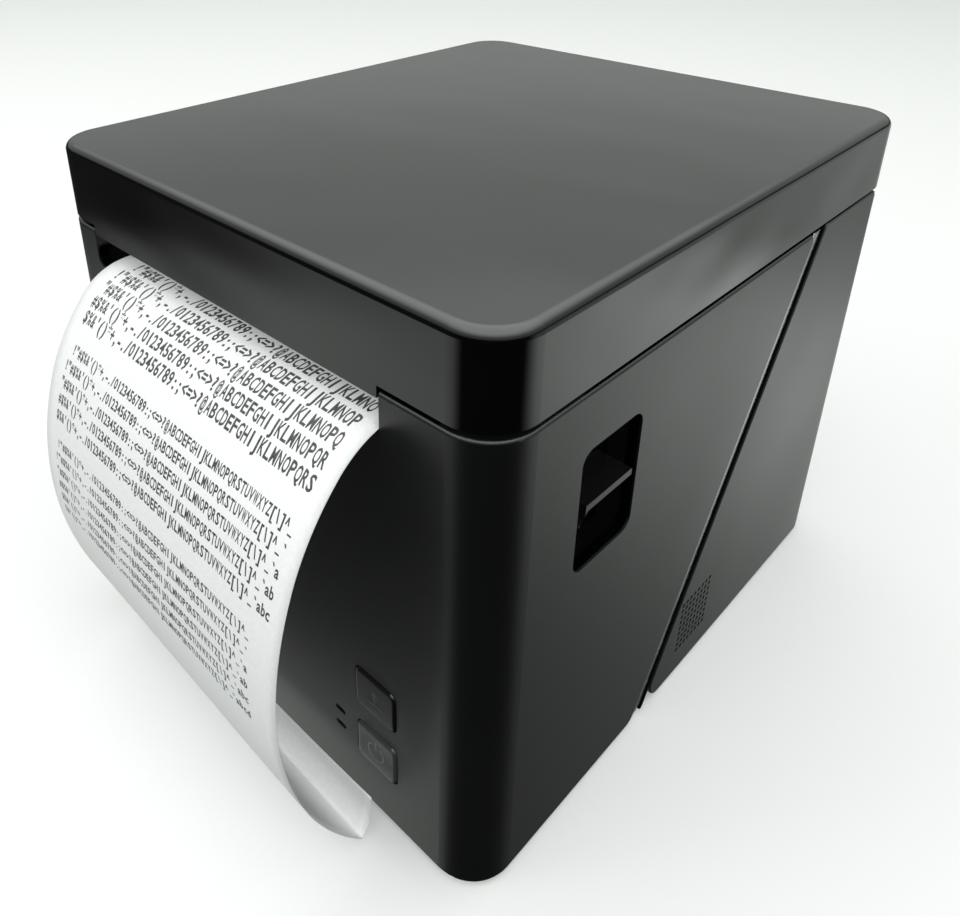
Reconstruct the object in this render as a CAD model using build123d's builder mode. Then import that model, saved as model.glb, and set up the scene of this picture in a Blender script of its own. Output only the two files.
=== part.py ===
"""Desktop receipt printer: two case halves split by a slanted gap, a rear-hinged lid,
the print and cutter mechanism, the paper roll and the receipt hanging from the mouth."""
import os
from math import acos, cos, hypot, pi, radians, sin, tan

from build123d import *

os.makedirs("parts", exist_ok=True)

# ---- driving dimensions, millimetres ------------------------------------------
# X runs left to right seen from the front, -Y is the front, Z = 0 is under the feet.
WIDTH = 120.0
DEPTH = 140.0
FOOT_HEIGHT = 1.0
CASE_TOP = 98.3
REAR_CASE_TOP = 98.6
LID_BOTTOM = 99.4
LID_TOP = 115.0
CORNER_R = 9.0
WALL = 2.4

SEAM_ANGLE = 62.5          # slope of the gap between the case halves, from horizontal
SEAM_Y = -20.0             # where the front half's slanted edge meets the underside
SEAM_GAP = 4.0             # measured square to the edge

PAPER_WIDTH = 79.5
PAPER_X = -1.8             # middle of the paper path
PAPER_THICK = 0.3
PAPER_Z = 92.4             # middle of the paper where it runs level through the mouth
MOUTH_LEFT = -46.3
MOUTH_RIGHT = 38.1
MOUTH_BOTTOM = 90.3

HINGE_Y = 69.0
HINGE_Z = 98.5
HINGE_X = 38.0
HINGE_R = 2.4
PIN_R = 1.25
RUNNING = 0.05             # radial clearance of every shaft that turns

PLATEN_Y = -50.0
PLATEN_R = 6.0
PLATEN_Z = PAPER_Z - PAPER_THICK / 2 - 0.3 - PLATEN_R
PLATEN_SHAFT_R = 2.5

GEAR_MODULE = 0.8
PLATEN_TEETH = 24
IDLER_TEETH = 30
MOTOR_TEETH = 12
GEAR_X = -49.4             # outer face of the gear train
GEAR_WIDTH = 3.6
IDLER_Z = PLATEN_Z - GEAR_MODULE * (PLATEN_TEETH + IDLER_TEETH) / 2
MOTOR_Z = IDLER_Z - GEAR_MODULE * (IDLER_TEETH + MOTOR_TEETH) / 2

CUTTER_TEETH = 12
CUTTER_R = GEAR_MODULE * CUTTER_TEETH / 2
CUTTER_X = 22.0
CUTTER_Z = 70.0
BLADE_FRONT = -61.0
BLADE_THICK = 0.6
BLADE_TOP = 91.3

LATCH_Y = -34.0
LATCH_Z = 75.0
LATCH_R = 2.0
WINDOW_Y = -40.7
WINDOW_Z = 75.2
WINDOW_SIZE = (16.8, 24.4)

ROLL_Y = 14.0
ROLL_Z = 46.0
ROLL_R = 34.0
CORE_R = 9.0
BUCKET_R = 41.0

BUTTON_X = 35.4
BUTTON_SIZE = (10.7, 9.8)
FEED_Z = 32.0
POWER_Z = 17.8
LIGHT_X = 25.2
LIGHT_Z = (20.0, 15.9)
LIGHT_SLOT = (2.9, 1.2)

FRONT = -DEPTH / 2
SIDE = WIDTH / 2
FRAME_LEFT = -45.0
FRAME_RIGHT = 42.0
FRAME_SHEET = 1.5
FRAME_FRONT = -63.0
FLOOR_TOP = 3.4
BOSS = (52.9, 62.9)       # middles of the four screw bosses
SCREW_HOLE_R = 1.4
MIRROR = (-1, 1)


# ---- helpers --------------------------------------------------------------------
def block(low, high, mode=Mode.ADD):
    """A box between two corners."""
    middle = [(a + b) / 2 for a, b in zip(low, high)]
    size = [b - a for a, b in zip(low, high)]
    with Locations(tuple(middle)):
        Box(*size, mode=mode)


def rod_x(y, z, radius, x_low, x_high, mode=Mode.ADD):
    """A round bar along X."""
    with BuildSketch(Plane.YZ.offset(x_low)) as section:
        with Locations((y, z)):
            Circle(radius)
    extrude(section.sketch, amount=x_high - x_low, mode=mode)


def rod_y(x, z, radius, y_low, y_high, mode=Mode.ADD):
    """A round bar along Y."""
    with BuildSketch(Plane.XZ.offset(-y_high)) as section:
        with Locations((x, z)):
            Circle(radius)
    extrude(section.sketch, amount=y_high - y_low, mode=mode)


def rounded_block(width, depth, radius, z_low, z_high, mode=Mode.ADD):
    """An upright block about the middle of the printer, with round corners."""
    with BuildSketch(Plane.XY.offset(z_low)) as outline:
        RectangleRounded(width, depth, radius)
    extrude(outline.sketch, amount=z_high - z_low, mode=mode)


def gear_points(teeth, turn, centre):
    """Outline of a spur gear with involute flanks; one tooth points along turn degrees."""
    pitch_r = GEAR_MODULE * teeth / 2
    base_r = pitch_r * cos(radians(20))
    root_r = pitch_r - 1.15 * GEAR_MODULE
    tip_r = pitch_r + 0.85 * GEAR_MODULE
    backlash = 0.18

    def involute(radius):
        angle = acos(min(1.0, base_r / radius))
        return tan(angle) - angle

    half = pi / (2 * teeth) - backlash / (2 * pitch_r) + involute(pitch_r)
    start_r = max(base_r, root_r)
    radii = [start_r + (tip_r - start_r) * i / 4 for i in range(5)]
    flank = [(r, half - involute(r)) for r in radii]
    if root_r < base_r:
        flank.insert(0, (root_r, half))
    points = []
    for tooth in range(teeth):
        middle = radians(turn) + 2 * pi * tooth / teeth
        sides = [(r, middle - a) for r, a in flank]
        sides += [(r, middle + a) for r, a in reversed(flank)]
        for r, angle in sides:
            points.append((centre[0] + r * cos(angle), centre[1] + r * sin(angle)))
    return points


def gear_x(teeth, y, z, turn, bore_r):
    """A gear of the print train, lying in the YZ plane."""
    with BuildSketch(Plane.YZ.offset(GEAR_X)) as section:
        with BuildLine():
            Polyline(*gear_points(teeth, turn, (y, z)), close=True)
        make_face()
        with Locations((y, z)):
            Circle(bore_r, mode=Mode.SUBTRACT)
    extrude(section.sketch, amount=GEAR_WIDTH)


def save(piece, name):
    """Labels a finished piece and writes it."""
    piece.part.label = name
    export_step(piece.part, f"parts/{name}.step")


def seam_half(shift, side):
    """A tall slanted slab that covers one side of the gap: side -1 front, +1 rear."""
    slope = 1 / tan(radians(SEAM_ANGLE))
    low, high = -20.0, 130.0
    line_low = SEAM_Y + shift + slope * (low - FOOT_HEIGHT)
    line_high = SEAM_Y + shift + slope * (high - FOOT_HEIGHT)
    far = side * DEPTH
    with BuildSketch(Plane.YZ.offset(-WIDTH)) as section:
        with BuildLine():
            Polyline((line_low, low), (line_high, high), (far, high), (far, low), close=True)
        make_face()
    return section.sketch


def case_ring(top):
    """The plain outer wall that both case halves are cut from."""
    rounded_block(WIDTH, DEPTH, CORNER_R, FOOT_HEIGHT, top)
    rounded_block(WIDTH - 2 * WALL, DEPTH - 2 * WALL, CORNER_R - WALL, 0, top + 1, Mode.SUBTRACT)


def screw_bosses(y):
    """The two tubes inside the walls that the base screws go into."""
    with BuildSketch(Plane.XY.offset(FLOOR_TOP)) as boss:
        with Locations((-BOSS[0], y), (BOSS[0], y)):
            Circle(4.4)
            Circle(SCREW_HOLE_R, mode=Mode.SUBTRACT)
    extrude(boss.sketch, amount=9)


def side_corner(y, z):
    """Picks the edges that run along X at a corner of the side walls."""
    def near(edge):
        middle = edge.center()
        return abs(middle.Y - y) < 0.6 and abs(middle.Z - z) < 0.6
    return near


def rim_edges(piece, top):
    """Picks the outer edges along the top and down the slanted gap."""
    def on_rim(edge):
        middle = edge @ 0.5
        way = edge % 0.5
        past_x = max(abs(middle.X) - SIDE + CORNER_R, 0)
        past_y = max(abs(middle.Y) - DEPTH / 2 + CORNER_R, 0)
        outside = abs(hypot(past_x, past_y) - CORNER_R) < 0.01
        at_top = abs(middle.Z - top) < 0.01
        slanted = edge.length > 40 and abs(abs(way.Z) - sin(radians(SEAM_ANGLE))) < 0.02
        return outside and (at_top or slanted)
    return piece.edges().filter_by(on_rim)


FRONT_RIM_R = 0.6
REAR_RIM_R = 0.3
SEAM_SHIFT = SEAM_GAP / sin(radians(SEAM_ANGLE))
SEAM_SLOPE = 1 / tan(radians(SEAM_ANGLE))
SEAM_TOP_FRONT = SEAM_Y + SEAM_SLOPE * (CASE_TOP - FOOT_HEIGHT)
SEAM_TOP_REAR = SEAM_Y + SEAM_SHIFT + SEAM_SLOPE * (REAR_CASE_TOP - FOOT_HEIGHT)

# ---- front case: walls in front of the gap, with mouth, windows and button holes ---
with BuildPart() as front_case:
    case_ring(CASE_TOP)
    extrude(seam_half(0, 1), amount=2 * WIDTH, mode=Mode.SUBTRACT)
    top_corner = front_case.edges().filter_by(Axis.X).filter_by(side_corner(SEAM_TOP_FRONT, CASE_TOP))
    fillet(top_corner, 1.6)
    foot_corner = front_case.edges().filter_by(Axis.X).filter_by(side_corner(SEAM_Y, FOOT_HEIGHT))
    fillet(foot_corner, 3.0)
    fillet(rim_edges(front_case, CASE_TOP), FRONT_RIM_R)
    with BuildSketch(Plane.XZ.offset(SIDE)) as mouth:
        with Locations(((MOUTH_LEFT + MOUTH_RIGHT) / 2, MOUTH_BOTTOM + 10)):
            RectangleRounded(MOUTH_RIGHT - MOUTH_LEFT, 20, 1.8)
        for button_z in (FEED_Z, POWER_Z):
            with Locations((BUTTON_X, button_z)):
                RectangleRounded(*BUTTON_SIZE, 1.6)
        for light_z in LIGHT_Z:
            with Locations((LIGHT_X, light_z)):
                SlotOverall(*LIGHT_SLOT)
    extrude(mouth.sketch, amount=20, mode=Mode.SUBTRACT)
    with BuildSketch(Plane.YZ.offset(-WIDTH)) as window:
        with Locations((WINDOW_Y, WINDOW_Z)):
            RectangleRounded(*WINDOW_SIZE, 2.6)
    extrude(window.sketch, amount=2 * WIDTH, mode=Mode.SUBTRACT)
    screw_bosses(-BOSS[1])
save(front_case, "front_case")

# ---- rear case: walls behind the gap, vents at the sides, sockets at the back ------
VENT_Y, VENT_Z = 2.9, 14.9
VENT_PITCH, VENT_R = 1.65, 0.55
SOCKETS = {
    "power": (-36.0, 24.0, 13.0, 12.0),
    "usb": (-13.0, 24.0, 12.4, 11.2),
    "lan": (9.0, 24.0, 16.4, 13.8),
    "drawer": (33.0, 24.0, 13.4, 13.8),
}

with BuildPart() as rear_case:
    case_ring(REAR_CASE_TOP)
    extrude(seam_half(SEAM_SHIFT, -1), amount=2 * WIDTH, mode=Mode.SUBTRACT)
    tip_y = SEAM_Y + SEAM_SHIFT
    tips = rear_case.edges().filter_by(Axis.X).filter_by(side_corner(tip_y, FOOT_HEIGHT))
    fillet(tips, 4.0)
    uppers = rear_case.edges().filter_by(Axis.X)
    uppers = uppers.filter_by(side_corner(SEAM_TOP_REAR, REAR_CASE_TOP))
    fillet(uppers, 0.8)
    fillet(rim_edges(rear_case, REAR_CASE_TOP), REAR_RIM_R)
    block((-SIDE, 62, 97.2), (SIDE, SIDE + 20, 110), Mode.SUBTRACT)
    with BuildSketch(Plane.YZ.offset(-WIDTH)) as vents:
        with Locations((VENT_Y, VENT_Z)):
            with GridLocations(VENT_PITCH, VENT_PITCH, 8, 9):
                Circle(VENT_R)
    extrude(vents.sketch, amount=2 * WIDTH, mode=Mode.SUBTRACT)
    for socket_x, socket_z, socket_w, socket_h in SOCKETS.values():
        low = (socket_x - socket_w / 2 - 0.3, 60, socket_z - socket_h / 2 - 0.3)
        high = (socket_x + socket_w / 2 + 0.3, 80, socket_z + socket_h / 2 + 0.3)
        block(low, high, Mode.SUBTRACT)
    for side in MIRROR:
        block((side * HINGE_X - 8.4, 62, HINGE_Z - 3.0), (side * HINGE_X + 8.4, 80, 110), Mode.SUBTRACT)
    screw_bosses(BOSS[1])
save(rear_case, "rear_case")

# ---- base plate, screws and feet ---------------------------------------------------
with BuildPart() as base_plate:
    plate_width = WIDTH - 2 * WALL - 0.2
    plate_depth = DEPTH - 2 * WALL - 0.2
    rounded_block(plate_width, plate_depth, CORNER_R - WALL - 0.1, FOOT_HEIGHT, FLOOR_TOP)
    with BuildSketch(Plane.XY) as clearance:
        with GridLocations(2 * BOSS[0], 2 * BOSS[1], 2, 2):
            Circle(1.6)
    extrude(clearance.sketch, amount=10, mode=Mode.SUBTRACT)
    with BuildSketch(Plane.XY) as head_room:
        with GridLocations(2 * BOSS[0], 2 * BOSS[1], 2, 2):
            Circle(3.0)
    extrude(head_room.sketch, amount=FOOT_HEIGHT + 1.4, mode=Mode.SUBTRACT)
save(base_plate, "base_plate")

with BuildPart() as case_screws:
    for screw_x in (-BOSS[0], BOSS[0]):
        for screw_y in (-BOSS[1], BOSS[1]):
            with BuildSketch(Plane.XY.offset(FOOT_HEIGHT + 0.1)) as head:
                with Locations((screw_x, screw_y)):
                    Circle(2.7)
                    Rectangle(3.2, 0.7, mode=Mode.SUBTRACT)
                    Rectangle(0.7, 3.2, mode=Mode.SUBTRACT)
            extrude(head.sketch, amount=0.7)
            with BuildSketch(Plane.XY.offset(FOOT_HEIGHT + 0.8)) as neck:
                with Locations((screw_x, screw_y)):
                    Circle(2.7)
            extrude(neck.sketch, amount=0.6)
            with BuildSketch(Plane.XY.offset(FOOT_HEIGHT + 1.4)) as thread:
                with Locations((screw_x, screw_y)):
                    Circle(1.3)
            extrude(thread.sketch, amount=8.6)
save(case_screws, "case_screws")

with BuildPart() as feet:
    with BuildSketch(Plane.XY) as pads:
        with GridLocations(88, 106, 2, 2):
            Circle(6)
    extrude(pads.sketch, amount=FOOT_HEIGHT)
save(feet, "feet")

# ---- inner frame: dark side skins seen through the gap, tied by a floor strip --------
SKIN_OUT = 56.9
SKIN_THICK = 1.6

with BuildPart() as inner_frame:
    for side in MIRROR:
        inner, outer = sorted((side * (SKIN_OUT - SKIN_THICK), side * SKIN_OUT))
        block((inner, -25, FLOOR_TOP), (outer, 57, 96.0))
    block((-SKIN_OUT, -25, FLOOR_TOP), (SKIN_OUT, -22.5, FLOOR_TOP + 3))
    block((-SKIN_OUT, 54.5, FLOOR_TOP), (SKIN_OUT, 57, FLOOR_TOP + 3))
save(inner_frame, "inner_frame")

# ---- mechanism frame: folded steel with bearing holes ---------------------------------
EAR_Y = -29.5


def frame_cheek(x_low):
    """One upright cheek with its bearing, axle and latch shaft holes."""
    with BuildSketch(Plane.YZ.offset(x_low)) as cheek:
        with BuildLine():
            Polyline(
                (FRAME_FRONT, FLOOR_TOP), (-38.0, FLOOR_TOP), (-38.0, LATCH_Z - 6), (EAR_Y, LATCH_Z - 6),
                (EAR_Y, LATCH_Z + 6), (-38.0, LATCH_Z + 6), (-38.0, 91.0), (FRAME_FRONT, 91.0), close=True,
            )
        make_face()
        with Locations((PLATEN_Y, PLATEN_Z)):
            Circle(5.0, mode=Mode.SUBTRACT)
        with Locations((LATCH_Y, LATCH_Z)):
            Circle(LATCH_R + RUNNING, mode=Mode.SUBTRACT)
    extrude(cheek.sketch, amount=FRAME_SHEET)


with BuildPart() as mechanism_frame:
    frame_cheek(FRAME_LEFT)
    frame_cheek(FRAME_RIGHT - FRAME_SHEET)
    block((FRAME_LEFT, FRAME_FRONT, FLOOR_TOP), (FRAME_RIGHT, -38.0, FLOOR_TOP + FRAME_SHEET))
    rod_x(PLATEN_Y, MOTOR_Z, 4.0, FRAME_LEFT - 1, FRAME_LEFT + FRAME_SHEET + 1, Mode.SUBTRACT)
    rod_x(PLATEN_Y, IDLER_Z, 1.5, FRAME_LEFT - 1, FRAME_LEFT + FRAME_SHEET + 1, Mode.SUBTRACT)
save(mechanism_frame, "mechanism_frame")

# ---- platen: shaft, rubber roller, bearings and its gear --------------------------------
ROLLER_LEFT = PAPER_X - PAPER_WIDTH / 2 - 0.6
ROLLER_RIGHT = PAPER_X + PAPER_WIDTH / 2 + 0.6

with BuildPart() as platen_shaft:
    rod_x(PLATEN_Y, PLATEN_Z, PLATEN_SHAFT_R, GEAR_X, FRAME_RIGHT + 2)
save(platen_shaft, "platen_shaft")

with BuildPart() as platen_roller:
    rod_x(PLATEN_Y, PLATEN_Z, PLATEN_R, ROLLER_LEFT, ROLLER_RIGHT)
    rod_x(PLATEN_Y, PLATEN_Z, PLATEN_SHAFT_R, ROLLER_LEFT - 1, ROLLER_RIGHT + 1, Mode.SUBTRACT)
save(platen_roller, "platen_roller")

with BuildPart() as platen_bearings:
    for bearing_x in (FRAME_LEFT, FRAME_RIGHT - FRAME_SHEET):
        rod_x(PLATEN_Y, PLATEN_Z, 5.0, bearing_x, bearing_x + FRAME_SHEET)
    rod_x(PLATEN_Y, PLATEN_Z, PLATEN_SHAFT_R + RUNNING, -60, 60, Mode.SUBTRACT)
save(platen_bearings, "platen_bearings")

with BuildPart() as platen_gear:
    gear_x(PLATEN_TEETH, PLATEN_Y, PLATEN_Z, -90, PLATEN_SHAFT_R)
save(platen_gear, "platen_gear")

# ---- drive: idler gear on its pin, motor with pinion ------------------------------------
with BuildPart() as idler_gear:
    gear_x(IDLER_TEETH, PLATEN_Y, IDLER_Z, 90 + 180 / IDLER_TEETH, 1.5 + RUNNING)
save(idler_gear, "idler_gear")

with BuildPart() as idler_pin:
    rod_x(PLATEN_Y, IDLER_Z, 1.5, GEAR_X - 0.1, FRAME_LEFT + FRAME_SHEET)
save(idler_pin, "idler_pin")

with BuildPart() as motor_pinion:
    gear_x(MOTOR_TEETH, PLATEN_Y, MOTOR_Z, 90, 1.0)
    rod_x(PLATEN_Y, MOTOR_Z, 1.0, GEAR_X, -36.0)
save(motor_pinion, "motor_pinion")

MOTOR_LEFT = FRAME_LEFT + FRAME_SHEET

with BuildPart() as stepper_motor:
    rod_x(PLATEN_Y, MOTOR_Z, 14.0, MOTOR_LEFT, MOTOR_LEFT + 22)
    block((MOTOR_LEFT, PLATEN_Y - 11.5, MOTOR_Z - 17), (MOTOR_LEFT + 1.2, PLATEN_Y + 11.5, MOTOR_Z + 17))
    rod_x(PLATEN_Y, MOTOR_Z, 1.0 + RUNNING, MOTOR_LEFT - 1, -35.0, Mode.SUBTRACT)
save(stepper_motor, "stepper_motor")

# ---- cutter: moving blade with rack, guide, pinion and motor -----------------------------
RACK_X = CUTTER_X - CUTTER_R
RACK_LOW, RACK_HIGH = 58.0, 80.0
RACK_BACK = -59.4
NOTCH = 1.6


def rack_points():
    """Rack flanks along Z, with a gap facing the middle of the pinion."""
    pitch = pi * GEAR_MODULE
    tip = RACK_X + 0.7 * GEAR_MODULE
    root = RACK_X - 1.2 * GEAR_MODULE
    lean = tan(radians(20)) * GEAR_MODULE
    half = pitch / 4 - 0.1
    points = []
    for tooth in range(-4, 4):
        middle = CUTTER_Z + (tooth + 0.5) * pitch
        points.append((root, middle - half - 1.2 * lean))
        points.append((tip, middle - half + 0.7 * lean))
        points.append((tip, middle + half - 0.7 * lean))
        points.append((root, middle + half + 1.2 * lean))
    return points


with BuildPart() as moving_blade:
    with BuildSketch(Plane.XZ.offset(-BLADE_FRONT - BLADE_THICK)) as blade:
        with BuildLine():
            Polyline(
                (-42.4, 78.0), (39.0, 78.0), (39.0, BLADE_TOP - 1.5),
                (PAPER_X + NOTCH, BLADE_TOP), (PAPER_X + NOTCH, BLADE_TOP - 6),
                (PAPER_X - NOTCH, BLADE_TOP - 6), (PAPER_X - NOTCH, BLADE_TOP),
                (-42.4, BLADE_TOP - 1.5), close=True,
            )
        make_face()
    extrude(blade.sketch, amount=BLADE_THICK)
    with BuildSketch(Plane.XZ.offset(-RACK_BACK)) as rack:
        with BuildLine():
            Polyline((RACK_X - 6, RACK_LOW), *rack_points(), (RACK_X - 6, RACK_HIGH), close=True)
        make_face()
    extrude(rack.sketch, amount=RACK_BACK - BLADE_FRONT)
save(moving_blade, "moving_blade")

with BuildPart() as cutter_guide:
    block((FRAME_LEFT + FRAME_SHEET, -62.7, 74), (FRAME_RIGHT - FRAME_SHEET, -61.3, 89))
save(cutter_guide, "cutter_guide")

with BuildPart() as cutter_pinion:
    with BuildSketch(Plane.XZ.offset(-RACK_BACK)) as pinion:
        with BuildLine():
            Polyline(*gear_points(CUTTER_TEETH, 180, (CUTTER_X, CUTTER_Z)), close=True)
        make_face()
    extrude(pinion.sketch, amount=1.5)
    rod_y(CUTTER_X, CUTTER_Z, 0.8, RACK_BACK, -52.0)
save(cutter_pinion, "cutter_pinion")

with BuildPart() as cutter_motor:
    rod_y(CUTTER_X, CUTTER_Z, 7.0, -58.8, -41.0)
    rod_y(CUTTER_X, CUTTER_Z, 0.8 + RUNNING, -59.5, -51.0, Mode.SUBTRACT)
    block((CUTTER_X - 10, -58.8, CUTTER_Z - 8), (CUTTER_X + 18.5, -57.9, CUTTER_Z + 8))
    rod_y(CUTTER_X, CUTTER_Z, 0.8 + RUNNING, -59.5, -57.0, Mode.SUBTRACT)
save(cutter_motor, "cutter_motor")

# ---- lid: glossy cover, liner, catches, hinge leaves and screws ----------------------------
LINER_LOW, LINER_HIGH = 101.0, 102.6
LIP_BOTTOM = 97.2          # the cover's lip reaches down into the mouth

with BuildPart() as lid_cover:
    rounded_block(WIDTH, DEPTH, CORNER_R, LID_BOTTOM, LID_TOP)
    fillet(lid_cover.faces().sort_by(Axis.Z)[-1].edges(), 1.8)
    rounded_block(
        WIDTH - 2 * WALL, DEPTH - 2 * WALL, CORNER_R - WALL, LID_BOTTOM - 1, LID_TOP - WALL, Mode.SUBTRACT
    )
    block((MOUTH_LEFT + 0.4, FRONT, LIP_BOTTOM), (MOUTH_RIGHT - 0.4, FRONT + 2.0, LID_BOTTOM))
    for side in MIRROR:
        block((side * HINGE_X - 8.4, 62, 90), (side * HINGE_X + 8.4, 80, HINGE_Z + 3.0), Mode.SUBTRACT)
    for post_x in (-44.0, 44.0):
        for post_y in (-30.0, 50.0):
            with BuildSketch(Plane.XY.offset(LINER_HIGH)) as post:
                with Locations((post_x, post_y)):
                    Circle(3.0)
                    Circle(1.2, mode=Mode.SUBTRACT)
            extrude(post.sketch, amount=LID_TOP - WALL - LINER_HIGH)
save(lid_cover, "lid_cover")

with BuildPart() as lid_liner:
    rounded_block(
        WIDTH - 2 * WALL - 0.4, DEPTH - 2 * WALL - 0.4, CORNER_R - WALL - 0.2, LINER_LOW, LINER_HIGH
    )
    for side in MIRROR:
        block((side * HINGE_X - 8.4, 64, 90), (side * HINGE_X + 8.4, 80, 110), Mode.SUBTRACT)
    with BuildSketch(Plane.XY.offset(90)) as screw_holes:
        with Locations((0, 10)):
            with GridLocations(88, 80, 2, 2):
                Circle(1.4)
    extrude(screw_holes.sketch, amount=20, mode=Mode.SUBTRACT)
save(lid_liner, "lid_liner")

with BuildPart() as lid_screws:
    with BuildSketch(Plane.XY.offset(LINER_LOW - 1.4)) as heads:
        with Locations((0, 10)):
            with GridLocations(88, 80, 2, 2):
                Circle(2.4)
                Rectangle(2.8, 0.6, mode=Mode.SUBTRACT)
                Rectangle(0.6, 2.8, mode=Mode.SUBTRACT)
    extrude(heads.sketch, amount=0.6)
    with BuildSketch(Plane.XY.offset(LINER_LOW - 0.8)) as necks:
        with Locations((0, 10)):
            with GridLocations(88, 80, 2, 2):
                Circle(2.4)
    extrude(necks.sketch, amount=0.8)
    with BuildSketch(Plane.XY.offset(LINER_LOW)) as shanks:
        with Locations((0, 10)):
            with GridLocations(88, 80, 2, 2):
                Circle(1.15)
    extrude(shanks.sketch, amount=8)
save(lid_screws, "lid_screws")

with BuildPart() as lid_catches:
    for side in MIRROR:
        inner, outer = sorted((side * 49.6, side * 55.0))
        block((inner, -36.6, 94.2), (outer, -34.6, 96.0))
        inner, outer = sorted((side * 53.2, side * 55.0))
        block((inner, -36.6, 94.2), (outer, -34.6, LINER_LOW))
save(lid_catches, "lid_catches")

with BuildPart() as lid_hinge_leaves:
    for side in MIRROR:
        middle = side * HINGE_X
        rod_x(HINGE_Y, HINGE_Z, HINGE_R, middle - 3.8, middle + 3.8)
        block((middle - 3.8, 65.9, HINGE_Z - 0.2), (middle + 3.8, 67.4, 111.5))
        block((middle - 3.8, 65.9, HINGE_Z - 0.2), (middle + 3.8, HINGE_Y, HINGE_Z + HINGE_R - 0.4))
        rod_x(HINGE_Y, HINGE_Z, PIN_R + RUNNING, middle - 5, middle + 5, Mode.SUBTRACT)
save(lid_hinge_leaves, "lid_hinge_leaves")

with BuildPart() as hinge_brackets:
    for side in MIRROR:
        middle = side * HINGE_X
        for x_low in (middle - 7.8, middle + 4.0):
            rod_x(HINGE_Y, HINGE_Z, HINGE_R, x_low, x_low + 3.8)
            block((x_low, 66.0, 84.0), (x_low + 3.8, 67.5, HINGE_Z))
        block((middle - 7.8, 66.0, 82.0), (middle + 7.8, 67.5, 92.0))
        rod_x(HINGE_Y, HINGE_Z, PIN_R, middle - 9, middle + 9, Mode.SUBTRACT)
save(hinge_brackets, "hinge_brackets")

with BuildPart() as hinge_pins:
    for side in MIRROR:
        rod_x(HINGE_Y, HINGE_Z, PIN_R, side * HINGE_X - 7.8, side * HINGE_X + 7.8)
save(hinge_pins, "hinge_pins")

# ---- print head, its cooler, springs and bracket; fixed blade and tear bar ------------------
HEAD_LOW = PAPER_Z + PAPER_THICK / 2 + 0.3
HEAD_LEFT, HEAD_RIGHT = -42.0, 38.4
COOLER_TOP = 98.0

with BuildPart() as print_head:
    block((HEAD_LEFT, -56.0, HEAD_LOW), (HEAD_RIGHT, -44.0, HEAD_LOW + 1.0))
save(print_head, "print_head")

with BuildPart() as head_cooler:
    block((HEAD_LEFT, -58.8, HEAD_LOW + 1.0), (HEAD_RIGHT, -42.0, COOLER_TOP))
    with Locations(((HEAD_LEFT + HEAD_RIGHT) / 2, -50.4, COOLER_TOP)):
        with GridLocations(1, 2.8, 1, 5):
            Box(90, 1.2, 4.4, mode=Mode.SUBTRACT)
save(head_cooler, "head_cooler")

with BuildPart() as head_springs:
    for spring_x in (-30.0, 26.4):
        with BuildSketch(Plane.XY.offset(COOLER_TOP)) as coil:
            with Locations((spring_x, -50.4)):
                Circle(3.0)
                Circle(2.2, mode=Mode.SUBTRACT)
        extrude(coil.sketch, amount=LINER_LOW - COOLER_TOP)
save(head_springs, "head_springs")

with BuildPart() as head_bracket:
    for x_low in (HEAD_LEFT - 1.0, HEAD_RIGHT):
        block((x_low, -57.0, HEAD_LOW + 1.5), (x_low + 1.0, -44.0, LINER_LOW))
    block((HEAD_LEFT - 1.0, -46.0, LINER_LOW - 1.0), (HEAD_RIGHT + 1.0, -44.0, LINER_LOW))
save(head_bracket, "head_bracket")

with BuildPart() as fixed_blade:
    block((-43.0, -60.3, 93.2), (39.4, -59.3, LINER_LOW))
save(fixed_blade, "fixed_blade")

TEAR_LEFT, TEAR_RIGHT = -47.2, 39.2
TEAR_FRONT = -66.0
TEAR_TIP = 94.3
TOOTH = 1.2

with BuildPart() as tear_bar:
    tooth_count = int((TEAR_RIGHT - TEAR_LEFT) / TOOTH)
    with BuildSketch(Plane.XZ.offset(-TEAR_FRONT - 0.8)) as comb:
        with BuildLine():
            saw = []
            for tooth in range(tooth_count):
                saw.append((TEAR_LEFT + tooth * TOOTH, TEAR_TIP + 0.7))
                saw.append((TEAR_LEFT + (tooth + 0.5) * TOOTH, TEAR_TIP))
            saw.append((TEAR_RIGHT, TEAR_TIP + 0.7))
            Polyline(*saw, (TEAR_RIGHT, LINER_LOW), (TEAR_LEFT, LINER_LOW), close=True)
        make_face()
    extrude(comb.sketch, amount=0.8)
save(tear_bar, "tear_bar")

# ---- release latch: one shaft, a finger lever with hook at each end, one spring ---------------
PLATE_IN, PLATE_OUT = 50.5, 52.5
LEDGE_OUT = 59.6
LEDGE_LOW, LEDGE_HIGH = 74.4, 75.7
LEDGE_FRONT, LEDGE_REAR = -48.0, -33.0
GRIP_R = 3.0
LEVER_FOOT = 62.4

with BuildPart() as latch_shaft:
    rod_x(LATCH_Y, LATCH_Z, LATCH_R, -PLATE_OUT, PLATE_OUT)
save(latch_shaft, "latch_shaft")


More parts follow.
